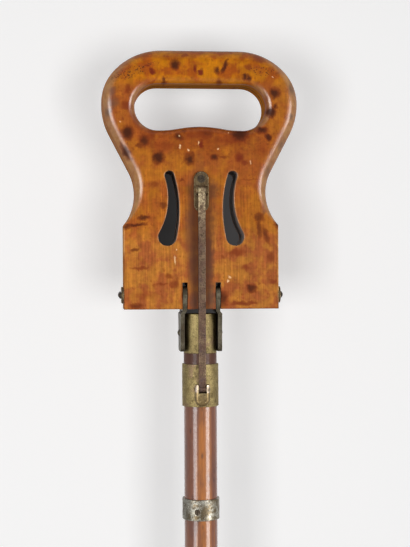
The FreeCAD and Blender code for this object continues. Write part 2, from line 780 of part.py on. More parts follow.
def spike():
    """The steel spike, its collar under the ground plate and its shank up inside the cane."""
    point_cone = Part.makeCone(spike_tip_radius, spike_radius, spike_point_length, ORIGIN, UP)
    rod = upright(spike_radius, spike_point_length, collar_bottom)
    collar = upright(collar_radius, collar_bottom, collar_top)
    collar = collar.makeFillet(collar_corner_round, [edge for edge in ring_edges(collar, collar_radius)
                                                     if edge.BoundBox.ZMax < collar_bottom + fit_gap])
    shank = upright(spike_shank_radius, collar_top, shank_top())
    return point_cone.fuse([rod, collar, shank]).removeSplitter()


def rear(shape):
    """The rear twin of a front piece."""
    return turned_about(shape, 180)


def main():
    os.makedirs("parts", exist_ok=True)
    pieces = {
        "cane": stick(),
        "head_socket": head_socket(),
        "left_side_plate": side_plate(-1),
        "right_side_plate": side_plate(1),
        "head_rivet": head_rivet(),
        "stop_ring": stop_ring(),
        "stop_ring_screws": Part.makeCompound(ring_screw_solids(0)),
        "ferrule": ferrule(),
        "ferrule_pin": ferrule_pin(),
        "ground_plate": ground_plate(),
        "spike": spike(),
        "slider_sleeve": slider(),
    }
    fronts = {
        "leaf": leaf(),
        "hinge_rod": hinge_rod(),
        "rod_washers": rod_washers(),
        "leaf_bracket": bracket(),
        "bracket_screws": bracket_screws(),
        "upper_pin": upper_pin(),
        "link": link(),
        "lower_pin": lower_pin(),
        "slider_lug": lug(),
    }
    for name, shape in fronts.items():
        pieces["front_" + name] = shape
        pieces["rear_" + name] = rear(shape)
    for name, shape in pieces.items():
        shape.exportStep(os.path.join("parts", name + ".step"))
        sound = shape.isValid() and all(solid.isClosed() for solid in shape.Solids)
        print(f"{name}: {len(shape.Solids)} solid(s), {shape.Volume:.1f} mm3, sound {sound}")
    print(f"hinge rods at y +-{rod_depth:.3f}, z {hinge_height:.3f}")
    print(f"upper pivots at y +-{upper_pivot_depth:.3f}, z {hinge_height + upper_pivot_height:.3f}")
    print(f"lower pivots at y +-{lower_pivot_depth:.3f}, z {hinge_height - lower_pivot_drop:.3f}")
    print(f"slider travel {slider_travel:.4f}")
    print(f"link turns {math.degrees(link_lean_open - link_lean_shut):.4f} degrees as its leaf turns 90")
    print(f"stop ring z {ring_bottom:.2f} to {ring_top:.2f}")


main()
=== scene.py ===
import functools
import json
import math
import bpy
from mathutils import Matrix, Vector

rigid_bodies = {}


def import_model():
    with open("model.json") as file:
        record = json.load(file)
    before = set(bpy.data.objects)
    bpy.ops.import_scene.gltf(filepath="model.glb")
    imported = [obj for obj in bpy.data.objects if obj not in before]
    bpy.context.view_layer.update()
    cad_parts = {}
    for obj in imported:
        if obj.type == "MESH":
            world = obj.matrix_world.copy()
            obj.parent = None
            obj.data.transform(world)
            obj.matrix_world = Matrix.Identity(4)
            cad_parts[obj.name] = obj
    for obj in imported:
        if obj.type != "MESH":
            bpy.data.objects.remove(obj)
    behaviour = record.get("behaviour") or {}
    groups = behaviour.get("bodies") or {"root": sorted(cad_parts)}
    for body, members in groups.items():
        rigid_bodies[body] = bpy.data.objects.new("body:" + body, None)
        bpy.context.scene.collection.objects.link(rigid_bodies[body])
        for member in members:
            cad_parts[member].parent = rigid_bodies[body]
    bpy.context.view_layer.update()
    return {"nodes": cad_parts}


# Looks of the antique shooting stick: spotted, varnished leaves, a polished cane and aged brass.
# Metres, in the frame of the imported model: +Z up the cane, -Y the front.

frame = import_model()
nodes = frame["nodes"]

MM = 0.001
HINGE_HEIGHT = 0.722
LEAF_FACE = 0.0147  # from the middle plane to a leaf's outer face

# Spots on the front leaf, in millimetres: across from the middle, above the hinge rods,
# half width, half height, lean in degrees, strength from 0 to 1.
SPOTS = {
    "burn": [
        (-17.4, 156.4, 2.7, 3.1, 0, 0.75), (16.6, 155.7, 1.2, 4.2, 25, 0.7),
        (11.2, 153.0, 1.8, 2.2, 0, 0.6), (29.9, 148.9, 1.8, 1.9, 0, 0.7),
        (33.3, 147.9, 1.9, 1.8, 0, 0.65), (-24.9, 145.5, 1.2, 2.3, 0, 0.55),
        (12.5, 145.5, 1.8, 1.8, 0, 0.5), (50.6, 138.0, 3.1, 3.1, 0, 0.7),
        (47.9, 124.8, 3.4, 2.9, 0, 0.85), (51.3, 128.5, 1.6, 2.0, 0, 0.55),
        (-50.0, 110.2, 3.4, 3.8, 0, 0.85), (-38.5, 104.7, 3.1, 3.4, 0, 0.6),
        (-41.2, 101.3, 2.7, 1.6, 0, 0.4), (-15.4, 107.4, 2.4, 2.3, 0, 0.65),
        (-12.0, 111.2, 2.3, 1.4, 0, 0.4), (4.4, 109.8, 4.4, 2.2, 0, 0.4),
        (26.5, 109.1, 4.8, 3.7, 0, 0.95), (41.8, 112.2, 3.1, 2.0, 0, 0.75),
        (46.2, 107.8, 1.5, 2.7, -25, 0.7), (-29.0, 93.5, 3.3, 3.8, 0, 0.85),
        (-7.9, 92.5, 3.0, 3.4, 0, 0.7), (-6.5, 95.9, 1.8, 1.6, 0, 0.4),
        (9.1, 93.5, 2.3, 1.9, 0, 0.65), (15.2, 93.8, 3.4, 0.8, 0, 0.3),
        (-51.1, 97.2, 1.8, 5.4, -32, 0.7), (-13.3, 78.2, 1.8, 0.6, 0, 0.35),
        (-39.2, 52.4, 3.7, 1.5, -8, 0.6), (-44.6, 47.6, 6.5, 1.0, -8, 0.6),
        (-50.4, 46.6, 2.3, 1.5, -20, 0.55), (-25.9, 61.2, 2.3, 2.0, 0, 0.45),
        (-45.3, 30.9, 2.6, 1.3, -15, 0.5), (39.7, 52.9, 2.8, 3.1, 0, 0.48),
        (39.4, 45.5, 1.6, 6.6, -4, 0.46), (44.2, 40.6, 1.6, 5.8, -22, 0.46),
        (52.6, 48.3, 2.2, 2.9, 0, 0.6), (34.3, 4.4, 3.0, 2.4, 0, 0.6),
        (-44.6, -7.1, 3.8, 1.8, 0, 0.45), (14.4, -2.4, 3.0, 4.6, 0, 0.6),
        (47.2, 25.8, 2.0, 3.4, 0, 0.3),
    ],
    "red": [
        (-3.8, 153.7, 1.1, 2.4, -18, 0.9), (0.3, 151.3, 1.5, 1.4, 0, 0.7),
        (-32.7, 152.0, 2.0, 1.5, 35, 0.75), (-35.8, 155.7, 1.6, 1.0, 20, 0.45),
        (32.9, 155.0, 2.4, 2.3, 0, 0.35), (-10.6, 162.9, 3.1, 1.1, 0, 0.4),
        (40.4, 160.5, 4.8, 2.3, 12, 0.4), (-49.4, 139.4, 1.6, 3.1, 0, 0.4),
        (-50.7, 128.5, 3.0, 3.1, 0, 0.45), (-33.7, 108.1, 2.3, 3.0, 0, 0.35),
        (26.1, 93.2, 2.2, 2.9, 0, 0.6), (29.5, 90.1, 1.8, 1.4, 0, 0.45),
        (0.3, 102.7, 1.2, 2.4, 0, 0.65), (-2.4, 108.8, 8.2, 2.7, 0, 0.3),
        (-22.8, 101.3, 13.6, 2.7, 0, 0.2), (20.7, 105.4, 10.9, 2.7, 0, 0.22),
        (-32.4, 75.5, 2.7, 1.8, 0, 0.25), (34.3, 78.2, 6.1, 0.5, 0, 0.25),
        (-41.9, 18.4, 5.4, 1.0, 0, 0.4), (-22.2, 12.9, 2.4, 1.6, 0, 0.35),
        (-18.4, 7.5, 2.7, 2.7, 0, 0.35), (-26.9, 7.5, 4.1, 0.7, 0, 0.3),
        (23.4, 28.9, 5.4, 2.2, 0, 0.35), (29.5, 18.4, 2.7, 2.0, 0, 0.3),
        (27.5, -5.8, 6.1, 1.4, 0, 0.55), (35.0, -5.4, 2.7, 1.1, 0, 0.45),
        (49.2, 8.8, 2.3, 1.9, 0, 0.35), (-39.2, 0.0, 8.2, 3.4, 0, 0.2),
        (-42.6, 22.4, 6.8, 3.4, 0, 0.12), (45.2, 132.6, 1.4, 4.1, 0, 0.25),
        (-44.6, 119.0, 2.0, 6.8, -25, 0.3), (42.4, 97.2, 5.4, 6.1, 0, 0.18),
        (27.5, 153.0, 9.5, 2.0, 0, 0.14), (-18.8, 161.2, 10.9, 1.8, 0, 0.2),
    ],
    "grey": [
        (62.8, 140.8, 1.8, 3.7, -10, 0.5), (62.8, 121.7, 1.6, 1.6, 0, 0.45),
        (-59.6, 137.4, 1.8, 3.0, 0, 0.45), (-59.6, 130.2, 2.9, 3.0, 0, 0.5),
        (-62.6, 123.8, 2.0, 3.0, 0, 0.6), (55.4, 102.0, 1.6, 2.9, 30, 0.4),
        (46.2, 85.0, 1.6, 4.5, 15, 0.4), (7.4, 71.4, 3.8, 5.4, 0, 0.35),
        (-6.5, 71.4, 2.7, 6.1, 0, 0.3), (5.0, 22.4, 3.0, 15.0, 0, 0.35),
        (-5.2, 22.4, 3.0, 16.3, 0, 0.3), (6.4, -2.0, 3.1, 7.5, 0, 0.6),
        (-5.2, -4.1, 3.0, 5.4, 0, 0.5), (-7.9, 49.6, 3.4, 13.6, 0, 0.25),
        (8.4, 49.6, 3.0, 12.2, 0, 0.2), (42.4, 57.8, 1.4, 4.1, 0, 0.3),
    ],
    "pale": [
        (-14.7, 107.8, 0.6, 0.9, 0, 0.9), (-14.3, 100.6, 0.7, 1.3, 0, 1),
        (-8.6, 98.6, 0.5, 0.7, 0, 0.7), (-1.4, 103.4, 0.5, 1.5, 0, 0.7),
        (12.2, 99.3, 0.6, 0.9, 0, 0.9), (33.6, 90.4, 0.6, 1.4, 0, 0.4),
        (-54.1, 117.6, 0.5, 1.1, 0, 0.6), (-16.9, 30.6, 0.5, 0.7, 0, 0.9),
        (-18.4, 23.8, 0.5, 3.1, 0, 0.55), (19.1, 12.2, 0.8, 1.0, 0, 0.9),
        (18.3, 9.2, 0.7, 1.2, 0, 0.9), (49.6, 148.9, 0.9, 0.6, 0, 0.8),
        (-22.2, 111.5, 0.5, 0.4, 0, 0.8), (19.3, 110.2, 0.3, 0.5, 0, 0.6),
    ],
}


def linear(red, green, blue):
    """A colour as seen on screen, from 0 to 255, as the shader's linear values."""
    def channel(value):
        value /= 255
        return value / 12.92 if value <= 0.04045 else ((value + 0.055) / 1.055) ** 2.4
    return (channel(red), channel(green), channel(blue), 1.0)


class Graph:
    """Adds nodes to a new material or world and links what it is given."""

    def __init__(self, name, world=False):
        self.owner = (bpy.data.worlds if world else bpy.data.materials).new(name)
        self.owner.use_nodes = True
        self.tree = self.owner.node_tree
        self.tree.nodes.clear()
        self.output = self.node("ShaderNodeOutputWorld" if world else "ShaderNodeOutputMaterial")

    @functools.cached_property
    def place(self):
        """Where a point of the surface is, in its object's own frame."""
        return self.node("ShaderNodeTexCoord").outputs["Object"]

    def node(self, kind, inputs=None, **settings):
        """A new node. Inputs are sockets to link or constants to set."""
        made = self.tree.nodes.new(kind)
        for key, value in settings.items():
            setattr(made, key, value)
        for key, value in (inputs or {}).items():
            if isinstance(value, bpy.types.NodeSocket):
                self.tree.links.new(value, made.inputs[key])
            else:
                made.inputs[key].default_value = value
        return made

    def math(self, operation, first, second=0.0):
        return self.node("ShaderNodeMath", {0: first, 1: second}, operation=operation).outputs[0]

    def plus(self, first, second):
        return self.math("ADD", first, second)

    def minus(self, first, second):
        return self.math("SUBTRACT", first, second)

    def times(self, first, second):
        return self.math("MULTIPLY", first, second)

    def larger(self, first, second):
        return self.math("MAXIMUM", first, second)

    def magnitude(self, value):
        return self.math("ABSOLUTE", value)

    def vector_math(self, operation, inputs):
        return self.node("ShaderNodeVectorMath", inputs, operation=operation).outputs

    def split(self, vector):
        return self.node("ShaderNodeSeparateXYZ", {0: vector}).outputs

    def scaled(self, vector, x, y, z):
        return self.vector_math("MULTIPLY", {0: vector, 1: (x, y, z)})[0]

    def noise(self, vector, scale, detail=3.0, roughness=0.5, distortion=0.0):
        inputs = {"Vector": vector, "Scale": scale, "Detail": detail, "Roughness": roughness,
                  "Distortion": distortion}
        return self.node("ShaderNodeTexNoise", inputs).outputs["Fac"]

    def cells(self, vector, scale):
        """The distance to the nearest cell's middle, and that cell's three random numbers."""
        made = self.node("ShaderNodeTexVoronoi", {"Vector": vector, "Scale": scale}, feature="F1")
        return made.outputs["Distance"], self.split(made.outputs["Color"])

    def warped(self, vector, scale, amount, detail=2.0):
        """The vector, pushed about by up to half of amount each way."""
        inputs = {"Vector": vector, "Scale": scale, "Detail": detail}
        noise = self.node("ShaderNodeTexNoise", inputs).outputs["Color"]
        centred = self.vector_math("SUBTRACT", {0: noise, 1: (0.5, 0.5, 0.5)})[0]
        pushed = self.scaled(centred, amount, amount, amount)
        return self.vector_math("ADD", {0: vector, 1: pushed})[0]

    def ramp(self, value, low, high, to_low=0.0, to_high=1.0):
        """A soft step from to_low to to_high as value runs from low to high."""
        inputs = {"Value": value, "From Min": low, "From Max": high,
                  "To Min": to_low, "To Max": to_high}
        return self.node("ShaderNodeMapRange", inputs, interpolation_type="SMOOTHSTEP").outputs[0]

    def mix(self, factor, first, second):
        inputs = {0: factor, 6: first, 7: second}
        return self.node("ShaderNodeMix", inputs, data_type="RGBA").outputs[2]

    def brightened(self, colour, level):
        return self.vector_math("SCALE", {0: colour, "Scale": level})[0]

    def tone(self, colour, value, low, high, darkest, brightest):
        """The colour made darker or brighter as value runs from low to high."""
        return self.brightened(colour, self.ramp(value, low, high, darkest, brightest))

    def spot(self, vector, centre, radii, lean, strength, total=None, edge=0.2, rim=1.9):
        """A soft-edged ellipsoid's mask, merged with the total so far.

        It fades from edge to rim, in radii. The first step waits for that total, or the renderer
        keeps every spot's vector on its small stack."""
        if total is not None:
            vector = self.vector_math("MULTIPLY_ADD", {0: total, 1: (0, 0, 0), 2: vector})[0]
        inputs = {"Vector": vector, "Location": centre, "Rotation": (0, math.radians(lean), 0),
                  "Scale": radii}
        inside = self.node("ShaderNodeMapping", inputs, vector_type="TEXTURE").outputs[0]
        distance = self.vector_math("LENGTH", {0: inside})["Value"]
        mask = self.ramp(distance, edge, rim, strength, 0.0)
        return mask if total is None else self.larger(total, mask)

    def edges(self, width):
        """A mask that is 1 along sharp edges, fading out over the width."""
        rounded = self.node("ShaderNodeBevel", {"Radius": width}, samples=6).outputs[0]
        normal = self.node("ShaderNodeNewGeometry").outputs["Normal"]
        agreement = self.vector_math("DOT_PRODUCT", {0: rounded, 1: normal})["Value"]
        return self.ramp(agreement, 0.76, 0.985, 1.0, 0.0)

    def bump(self, height, depth, strength, normal=None):
        inputs = {"Height": height, "Distance": depth, "Strength": strength}
        if normal is not None:
            inputs["Normal"] = normal
        return self.node("ShaderNodeBump", inputs).outputs[0]

    def seen(self):
        """1 where it is looked at, also in metal or through glass, and 0 where it gives light."""
        path = self.node("ShaderNodeLightPath").outputs
        looked_at = self.larger(path["Is Camera Ray"], path["Is Glossy Ray"])
        return self.larger(looked_at, path["Is Transmission Ray"])

    def show(self, shader):
        self.tree.links.new(shader.outputs[0], self.output.inputs["Surface"])
        return self.owner

    def finish(self, colour, roughness, normal, **constants):
        """The surface shader. Constants are set on its own sockets, with _ for a space in names."""
        inputs = {"Base Color": colour, "Roughness": roughness, "Normal": normal}
        inputs.update({key.replace("_", " "): value for key, value in constants.items()})
        return self.show(self.node("ShaderNodeBsdfPrincipled", inputs))


# On the leaves: heights above the hinge rods, depths behind the outer face, and where the slots and
# the ears' notches lie. Each pair is where a change begins and where it ends.
BLOCK_TOP = (0.052, 0.030)
GRIP_FOOT = (0.140, 0.150)
FAINT_GRAIN_FROM = (0.06, 0.11)
PALE_EDGES_FROM = (0.008, 0.016)
CUT_HALF_WIDTH = (0.036, 0.037)
CUT_FOOT = (0.7128, 0.7136)
CUT_TOP = (0.814, 0.816)
INNER_FACE = (-0.0143, -0.0138)
NEAR_SEAM = (-0.0130, -0.0140)

LINK_GRIME_AND_SHADE_CENTRE, LINK_GRIME_AND_SHADE_RADII = (-1.1, 0, 34), (10.6, 8, 62)
BROWN_CENTRE, BROWN_RADII = (4, 0, 106), (46, 60, 9)
# The worm-eaten areas: centre, radii, lean
WORMED = (((-46, 0, 152), (17, 12, 3.6), -20), ((43, 0, 152.5), (11.5, 12, 3.2), 10))

SPOT_TINTS = {"red": linear(104, 34, 12), "grey": linear(84, 60, 50), "burn": linear(60, 25, 10),
              "pale": linear(236, 196, 146)}
SPOT_DEPTH, CHIP_DEPTH = 11.0, 2.0
SPOT_RIM, CHIP_RIM = 1.9, 1.3
SPOT_GAIN = 1.3


def leaf_wood(name, side):
    """Varnished wood with burnt spots. Side is 1 on the front leaf, and -1 on the rear one."""
    g = Graph(name)
    x, y, z = g.split(g.place)
    up = g.minus(z, HINGE_HEIGHT)
    depth = g.minus(g.magnitude(y), LEAF_FACE)
    flat = g.node("ShaderNodeCombineXYZ", {0: g.times(x, side), 1: depth, 2: up}).outputs[0]
    rough_edged = g.warped(g.warped(flat, 260.0, 4.6 * MM, 3.0), 1000.0, 1.1 * MM)
    in_mm = g.scaled(rough_edged, 1 / MM, 1 / MM, 1 / MM)

    # Amber and orange patches, brown below the grip, golden on it and tan on the block at the foot
    patches = g.noise(g.warped(flat, 50.0, 8 * MM), 95.0, 3.0, 0.55)
    broad = g.noise(flat, 30.0, 2.0, 0.5)
    uneven = g.plus(g.times(patches, 0.6), g.times(broad, 0.4))
    colour = g.mix(g.ramp(uneven, 0.40, 0.60), linear(169, 100, 24), linear(152, 78, 26))
    below_grip = g.spot(in_mm, BROWN_CENTRE, BROWN_RADII, 0, 0.9)
    brown = g.times(below_grip, g.ramp(patches, 0.25, 0.6, 0.55, 1.0))
    colour = g.mix(brown, colour, linear(140, 66, 14))
    grip = g.ramp(up, *GRIP_FOOT)
    gold = g.mix(g.ramp(patches, 0.42, 0.62), linear(182, 110, 4), linear(156, 76, 10))
    colour = g.mix(grip, colour, gold)
    block = g.ramp(up, *BLOCK_TOP)
    tan = g.mix(g.ramp(patches, 0.40, 0.60), linear(175, 110, 40), linear(154, 82, 38))
    colour = g.mix(block, colour, tan)

    # Grain, fainter higher up, with broad bands and a mottle
    fibres = g.noise(g.scaled(g.warped(flat, 40.0, 1.2 * MM), 900.0, 900.0, 34.0), 1.0, 4.0, 0.6)
    grain = g.ramp(up, *FAINT_GRAIN_FROM, 0.20, 0.09)
    swing = g.minus(g.ramp(fibres, 0.3, 0.7), 0.5)
    swing = g.times(swing, g.times(grain, 2.0))
    colour = g.brightened(colour, g.plus(swing, 1.0))
    bands = g.noise(g.scaled(flat, 200.0, 200.0, 16.0), 1.0, 3.0, 0.5)
    colour = g.tone(colour, bands, 0.3, 0.7, 0.92, 1.06)
    mottle = g.noise(flat, 260.0, 4.0, 0.65)
    colour = g.tone(colour, mottle, 0.34, 0.68, 0.84, 1.10)
    # The wood is also made darker towards the right
    colour = g.tone(colour, x, -0.030, 0.055, 1.02, 0.93)

    # Specks, flecks and curls, densest below the grip
    distance, picks = g.cells(rough_edged, 150.0)
    specks = g.times(g.ramp(distance, 0.05, 0.26, 1.0, 0.0), g.ramp(picks[0], 0.22, 0.16))
    colour = g.mix(g.times(specks, 0.6), colour, linear(118, 50, 14))
    distance, picks = g.cells(g.scaled(g.warped(flat, 700.0, 1.4 * MM), 620.0, 620.0, 420.0), 1.0)
    share = g.plus(g.ramp(broad, 0.40, 0.62, 0.10, 0.30), g.times(below_grip, 0.35))
    flecks = g.times(g.ramp(distance, 0.12, 0.55, 1.0, 0.0),
                     g.ramp(g.minus(share, picks[2]), 0.0, 0.05))
    colour = g.mix(g.times(flecks, 0.42), colour, linear(112, 40, 12))
    curl = g.noise(g.scaled(g.warped(flat, 120.0, 5.0 * MM), 260.0, 260.0, 760.0), 1.0, 3.0, 0.6)
    curl = g.times(g.ramp(curl, 0.50, 0.66), g.ramp(below_grip, 0.1, 0.7, 0.12, 0.5))
    colour = g.mix(curl, colour, linear(120, 50, 16))

    # Dust and painted highlight on the rounded flanks, painted shade where they turn away, and worn
    # edges
    outward = g.node("ShaderNodeTexCoord").outputs["Normal"]
    sideways, facing, _ = g.split(g.vector_math("ABSOLUTE", {0: outward})[0])
    cut_area = g.times(g.ramp(g.magnitude(x), *CUT_HALF_WIDTH, 1.0, 0.0), g.ramp(z, *CUT_FOOT))
    cut_area = g.times(cut_area, g.ramp(z, *CUT_TOP, 1.0, 0.0))
    # Pale dust, with a painted highlight, on the flanks that face sideways and forward
    dust_and_sheen = g.times(g.ramp(sideways, 0.22, 0.55, 0.0, 0.42), g.ramp(facing, 0.3, 0.6))
    dust_and_sheen = g.times(dust_and_sheen, g.ramp(depth, -0.0095, -0.0065))
    dust_and_sheen = g.times(dust_and_sheen, g.ramp(mottle, 0.36, 0.60, 0.6, 1.0))
    colour = g.mix(dust_and_sheen, colour, linear(164, 144, 106))
    # Painted shade: darker where the rounded flanks turn away from the front
    flank_shade = g.times(g.ramp(facing, 0.10, 0.28, 0.0, 0.6), g.ramp(facing, 0.28, 0.5, 1.0, 0.0))
    flank_shade = g.times(flank_shade, g.ramp(patches, 0.3, 0.6, 0.5, 1.0))
    colour = g.mix(flank_shade, colour, linear(72, 50, 28))
    worn_edge = g.times(g.edges(2.2 * MM), g.ramp(mottle, 0.34, 0.56, 0.3, 0.9))
    worn_edge = g.times(worn_edge, g.ramp(cut_area, 0.0, 1.0, 1.0, 0.5))
    right_up = g.plus(up, g.times(x, 0.3 * side))
    rim = g.mix(g.ramp(right_up, *PALE_EDGES_FROM), linear(76, 42, 26), linear(208, 166, 108))
    colour = g.mix(worn_edge, colour, rim)

    # Worm holes at the grip's two shoulders
    wormed = None
    for centre, radii, lean in WORMED:
        wormed = g.spot(in_mm, centre, radii, lean, 1.0, wormed, 0.6, 1.3)
    distance, picks = g.cells(flat, 860.0)
    worm_dots = g.times(g.ramp(distance, 0.34, 0.50, 1.0, 0.0), g.ramp(picks[1], 0.70, 0.64))
    worm_holes = g.times(worm_dots, wormed)
    colour = g.mix(g.times(wormed, 0.35), colour, linear(140, 66, 18))
    colour = g.mix(g.times(worm_holes, 0.85), colour, linear(64, 32, 14))

    # Plainer wood down the sides, and grime with a painted shadow of the link behind it
    inner_face = g.ramp(depth, *INNER_FACE, 1.0, 0.0)
    side_on = g.times(g.ramp(depth, -0.0025, -0.0085), g.ramp(inner_face, 0.0, 1.0, 1.0, 0.2))
    colour = g.mix(g.times(side_on, 0.7), colour, linear(150, 94, 12))
    # Grime and a painted shadow of the link, in a band down the leaf behind it
    stain = g.spot(in_mm, LINK_GRIME_AND_SHADE_CENTRE, LINK_GRIME_AND_SHADE_RADII, 0, 0.92, edge=0.5, rim=1.15)
    stain = g.times(stain, g.ramp(patches, 0.2, 0.6, 0.76, 1.0))
    colour = g.mix(stain, colour, linear(112, 62, 34))

    # The placed spots, each kind over the last. Red and burnt ones have a brown halo.
    masks = {}
    for kind, tint in SPOT_TINTS.items():
        mask = None
        deep, rim = (CHIP_DEPTH, CHIP_RIM) if kind == "pale" else (SPOT_DEPTH, SPOT_RIM)
        for across, height, half_width, half_height, lean, strength in SPOTS[kind]:
            mask = g.spot(in_mm, (across, 0, height), (half_width, deep, half_height), lean,
                          min(strength * SPOT_GAIN, 1.0), mask, rim=rim)
        if kind in ("red", "burn"):
            halo = g.times(g.ramp(mask, 0.0, 0.4), 0.6)
            colour = g.mix(halo, colour, linear(118, 46, 10))
            blurred = g.plus(mask, g.times(g.minus(mottle, 0.5), 0.5))
            mask = g.ramp(blurred, 0.12, 1.0, 0.0, 0.95)
        colour = g.mix(mask, colour, tint)
        masks[kind] = mask

    height = g.plus(g.times(fibres, 0.35), g.times(mottle, 0.25))
    height = g.minus(height, g.times(worm_holes, 1.4))
    height = g.minus(height, g.times(specks, 0.5))
    normal = g.bump(g.noise(flat, 48.0, 2.0), 0.45 * MM, 0.35)
    normal = g.bump(height, 0.10 * MM, 0.6, normal)
    roughness = g.ramp(g.noise(flat, 140.0, 4.0, 0.6), 0.3, 0.7, 0.38, 0.52)
    roughness = g.larger(roughness, g.ramp(facing, 0.0, 0.25, 0.85, 0.38))

    # A dark seam between the leaves, and painted shade darkening the walls of the slots and notches
    wall = g.ramp(facing, 0.5, 0.8, 1.0, 0.0)
    seam = g.times(g.ramp(depth, *NEAR_SEAM, 0.0, 0.8), wall)
    colour = g.mix(seam, colour, linear(46, 28, 16))
    # Painted shade on the walls of the slots and notches, lighter in the right-hand ones
    slot_shade = g.times(cut_area, wall)
    slot_shade = g.times(slot_shade, g.ramp(depth, -0.0008, -0.0026))
    slot_shade_colour = g.mix(g.ramp(x, -0.012, 0.012), linear(78, 71, 68), linear(106, 99, 96))
    colour = g.mix(slot_shade, colour, slot_shade_colour)

    # Varnish: most on the rounded flanks, worn thin on the flat face, little on burns, none on the
    # painted shade in the slots
    varnish = g.larger(g.ramp(depth, -0.009, -0.003, 0.0, 0.5), g.times(inner_face, 0.35))
    varnish = g.times(varnish, g.ramp(facing, 0.0, 0.25))
    varnish = g.times(varnish, g.ramp(facing, 0.90, 0.985, 1.0, 0.22))
    varnish = g.times(varnish, g.ramp(masks["burn"], 0.0, 1.0, 1.0, 0.35))
    varnish = g.times(varnish, g.minus(1.0, slot_shade))
    return g.finish(colour, roughness, normal, Specular_IOR_Level=0.05, Coat_Weight=varnish,
                    Coat_Roughness=0.21, Coat_IOR=1.5)


SIDE_SHADE_WIDTH = 11.4 * MM
HEAD_SHADE_HEIGHTS = (0.628, 0.680)
POLISH_TOP = (0.668, 0.677)


def cane_wood(name):
    """Polished cane: warm brown in front and behind, streaked and flecked, with painted shade at
    the sides.
    """
    g = Graph(name)
    x, _, z = g.split(g.warped(g.place, 40.0, 3.0 * MM))
    # Painted shade: the colour darkens away from the middle towards both sides
    aside = g.math("DIVIDE", g.magnitude(g.minus(x, 2.0 * MM)), SIDE_SHADE_WIDTH)
    streaks = g.noise(g.scaled(g.warped(g.place, 26.0, 1.5 * MM), 330.0, 330.0, 7.0), 1.0, 4.0, 0.6)
    blotches = g.noise(g.scaled(g.place, 110.0, 110.0, 34.0), 1.0, 4.0, 0.6)
    fibres = g.noise(g.scaled(g.place, 1500.0, 1500.0, 30.0), 1.0, 3.0, 0.6)
    shade = g.plus(aside, g.times(g.minus(streaks, 0.5), 1.1))
    colour = g.mix(g.ramp(shade, 0.16, 0.62), linear(158, 94, 36), linear(116, 64, 38))
    colour = g.mix(g.ramp(blotches, 0.46, 0.68, 0.0, 0.6), colour, linear(88, 48, 38))
    # Wear and painted shade darken the cane towards the head
    head_shade_and_wear = g.times(g.ramp(z, *HEAD_SHADE_HEIGHTS), 0.85)
    colour = g.mix(head_shade_and_wear, colour, linear(72, 44, 34))
    colour = g.tone(colour, fibres, 0.3, 0.7, 0.82, 1.12)
    distance, picks = g.cells(g.scaled(g.place, 260.0, 260.0, 110.0), 1.0)
    flecks = g.times(g.ramp(distance, 0.10, 0.34, 1.0, 0.0), g.ramp(picks[0], 0.3, 0.25))
    colour = g.mix(g.times(flecks, 0.6), colour, linear(58, 32, 24))
    height = g.minus(g.times(fibres, 0.4), g.times(flecks, 0.8))
    normal = g.bump(g.noise(g.place, 60.0, 2.0), 0.36 * MM, 0.4)
    normal = g.bump(height, 0.10 * MM, 0.7, normal)
    roughness = g.ramp(g.noise(g.place, 160.0, 4.0, 0.6), 0.3, 0.7, 0.40, 0.56)
    polish = g.times(g.ramp(z, *POLISH_TOP, 1.0, 0.12),
                     g.ramp(g.noise(g.place, 520.0, 4.0, 0.65), 0.36, 0.62, 0.68, 1.0))
    return g.finish(colour, roughness, normal, Specular_IOR_Level=0.2, Coat_Weight=polish,
                    Coat_Roughness=0.15, Coat_IOR=1.55)


RING_RADIUS = 0.011
LUG_TOP = (0.6553, 0.6570)
LINK_TOP = (0.760, 0.792)


